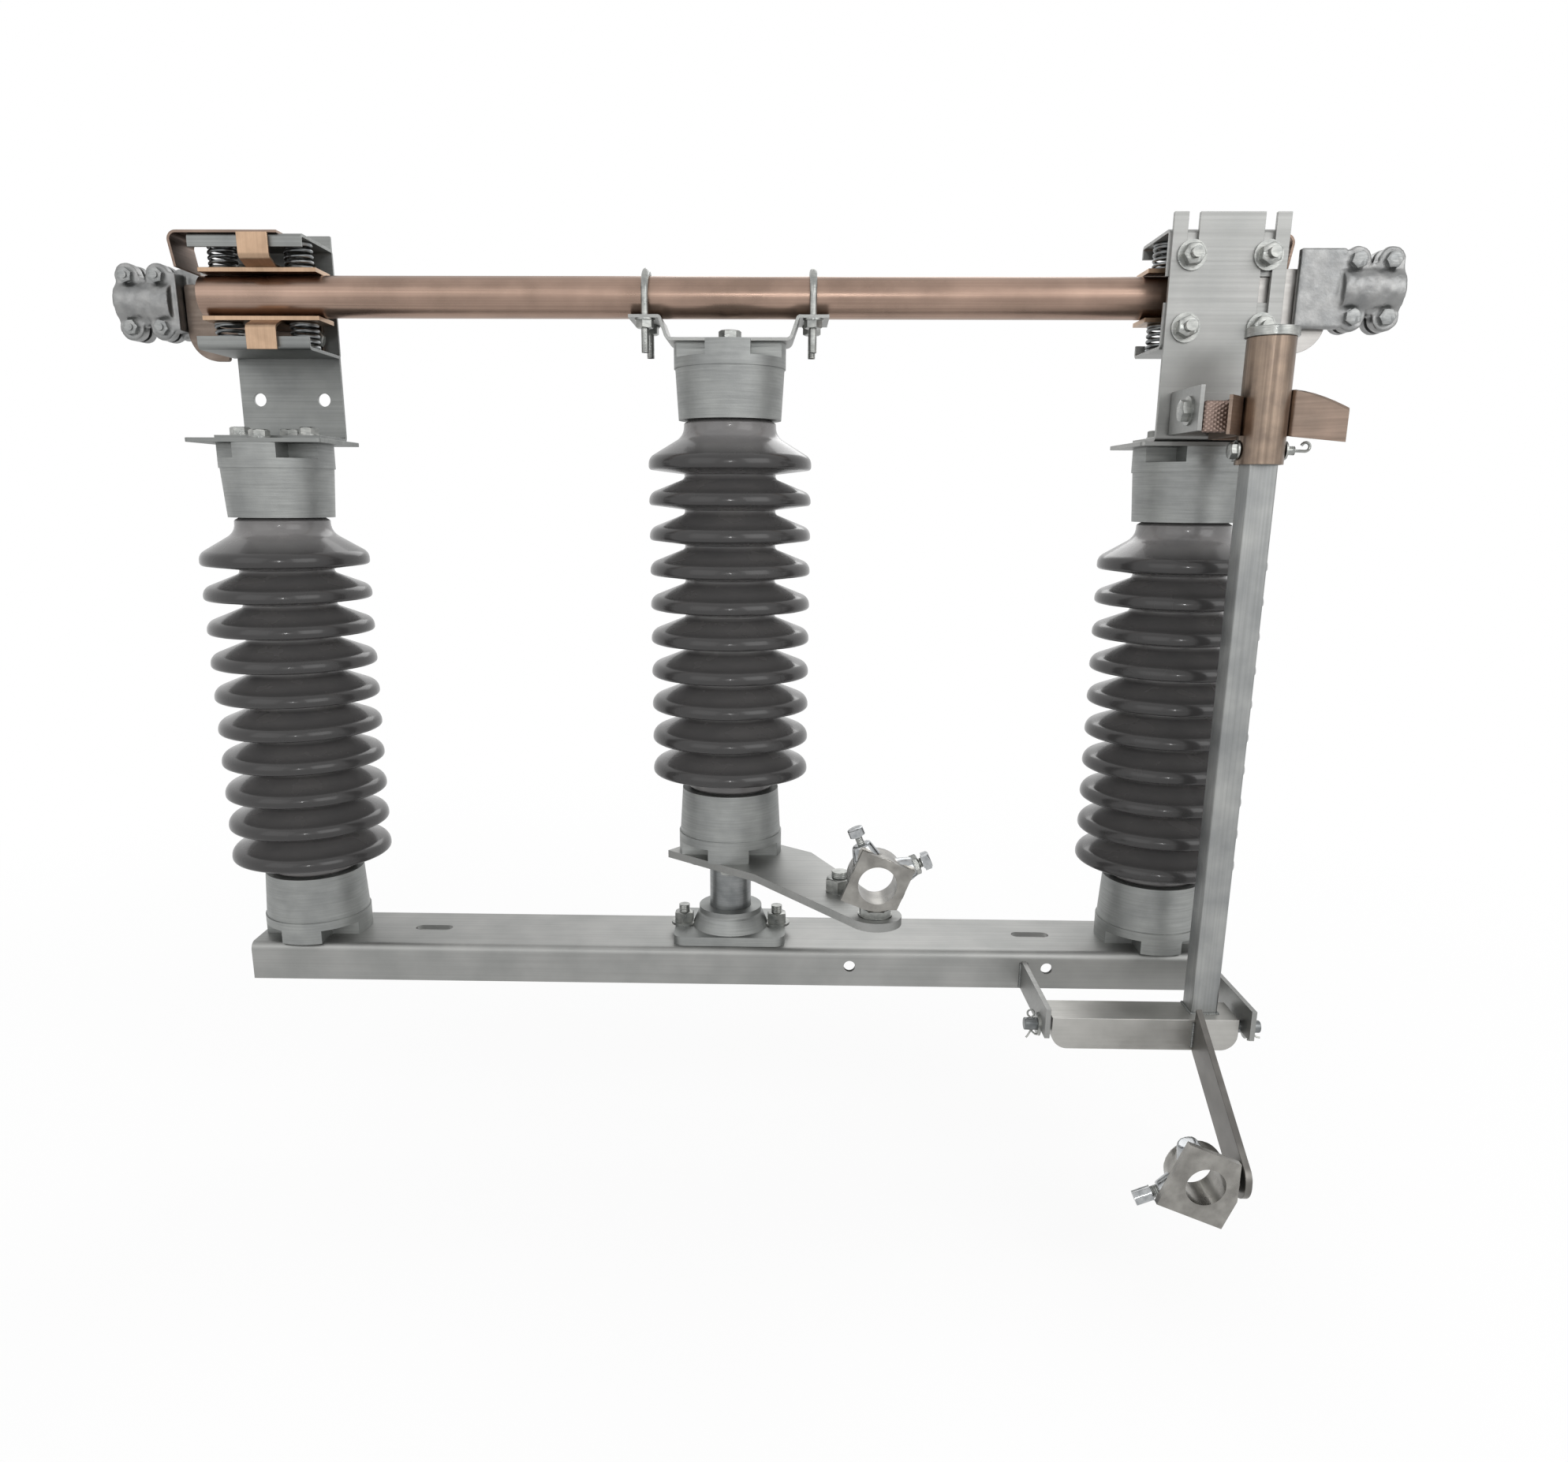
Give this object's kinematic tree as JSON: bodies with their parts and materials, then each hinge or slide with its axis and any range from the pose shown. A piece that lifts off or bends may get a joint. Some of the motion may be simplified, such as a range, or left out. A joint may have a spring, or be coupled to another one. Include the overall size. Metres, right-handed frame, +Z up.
{
  "type": "substation disconnect switch",
  "caption": "Outdoor centre-rotating double-break disconnect switch pole on porcelain posts with an earth switch, on a channel base, moved by operating rods.",
  "frame": {"origin": "centre of the flat face under the web of the base channel, where the pole is bolted to its support", "axes": "+X along the channel to the end with the earth switch, +Z up along the posts, -Y to the side the earth blade falls to"},
  "size_m": [1.216, 0.374, 0.8594],
  "materials": {
    "galvanised": "hot-dip galvanised mild steel, weathered dull grey",
    "cast_caps": "hot-dip galvanised malleable iron casting",
    "porcelain": "dark grey-brown glazed electrical porcelain, opaque",
    "tube_copper": "hard-drawn copper tube, weathered to dull brown",
    "finger_copper": "rolled copper strip, brown patina",
    "palm_copper": "rolled copper bar, dark patina",
    "terminal_aluminium": "sand-cast aluminium, rough",
    "shaft_steel": "galvanised bright steel rod and wire"
  },
  "bodies": {
    "base": {"base_channel": "galvanised", "left_porcelain": "porcelain", "right_porcelain": "porcelain", "left_lower_cap": "cast_caps", "left_upper_cap": "cast_caps", "right_lower_cap": "cast_caps", "right_upper_cap": "cast_caps", "bearing_housing": "cast_caps", "left_seat_plate": "galvanised", "right_seat_plate": "galvanised", "left_bracket": "galvanised", "right_bracket": "galvanised", "left_jaw_hoods": "galvanised", "right_jaw_hoods": "galvanised", "left_contact_fingers": "finger_copper", "right_contact_fingers": "finger_copper", "left_contact_springs": "shaft_steel", "right_contact_springs": "shaft_steel", "left_palm": "palm_copper", "right_palm": "palm_copper", "left_terminal": "terminal_aluminium", "right_terminal": "terminal_aluminium", "earth_contact_bracket": "galvanised", "earth_contact_fingers": "finger_copper", "left_hinge_arm": "galvanised", "right_hinge_arm": "galvanised", "hinge_pin": "shaft_steel"},
    "blade": {"drive_shaft": "shaft_steel", "drive_lever": "galvanised", "centre_lower_cap": "cast_caps", "centre_porcelain": "porcelain", "centre_upper_cap": "cast_caps", "blade_saddle": "galvanised", "left_u_bolt": "shaft_steel", "right_u_bolt": "shaft_steel", "blade_tube": "tube_copper"},
    "drive_clamp": {"drive_rod_clamp": "cast_caps"},
    "earth_blade": {"hinge_bar": "galvanised", "earth_pipe": "galvanised", "earth_blade_tube": "tube_copper", "earth_blade_cap": "terminal_aluminium", "crank_lever": "galvanised"},
    "crank_clamp": {"crank_rod_clamp": "cast_caps"}
  },
  "joints": [
    {"name": "blade_turn", "type": "hinge", "parent": "base", "child": "blade", "pos_m": [0, 0, 0.05], "axis": [0, 0, 1], "range_deg": [0, 90]},
    {"name": "drive_clamp_swivel", "type": "hinge", "parent": "blade", "child": "drive_clamp", "pos_m": [0.139, -0.19, 0.095], "axis": [0, 0, 1], "range_deg": [-90, 0]},
    {"name": "earth_swing", "type": "hinge", "parent": "base", "child": "earth_blade", "pos_m": [0.407, -0.138, -0.032], "axis": [1, 0, 0], "range_deg": [0, 90]},
    {"name": "crank_clamp_swivel", "type": "hinge", "parent": "earth_blade", "child": "crank_clamp", "pos_m": [0.455, -0.276, -0.106], "axis": [1, 0, 0], "range_deg": [-90, 0]}
  ],
  "couplings": [
    {"joint": "drive_clamp_swivel", "follows": "blade_turn", "ratio": -1},
    {"joint": "crank_clamp_swivel", "follows": "earth_swing", "ratio": -1}
  ]
}
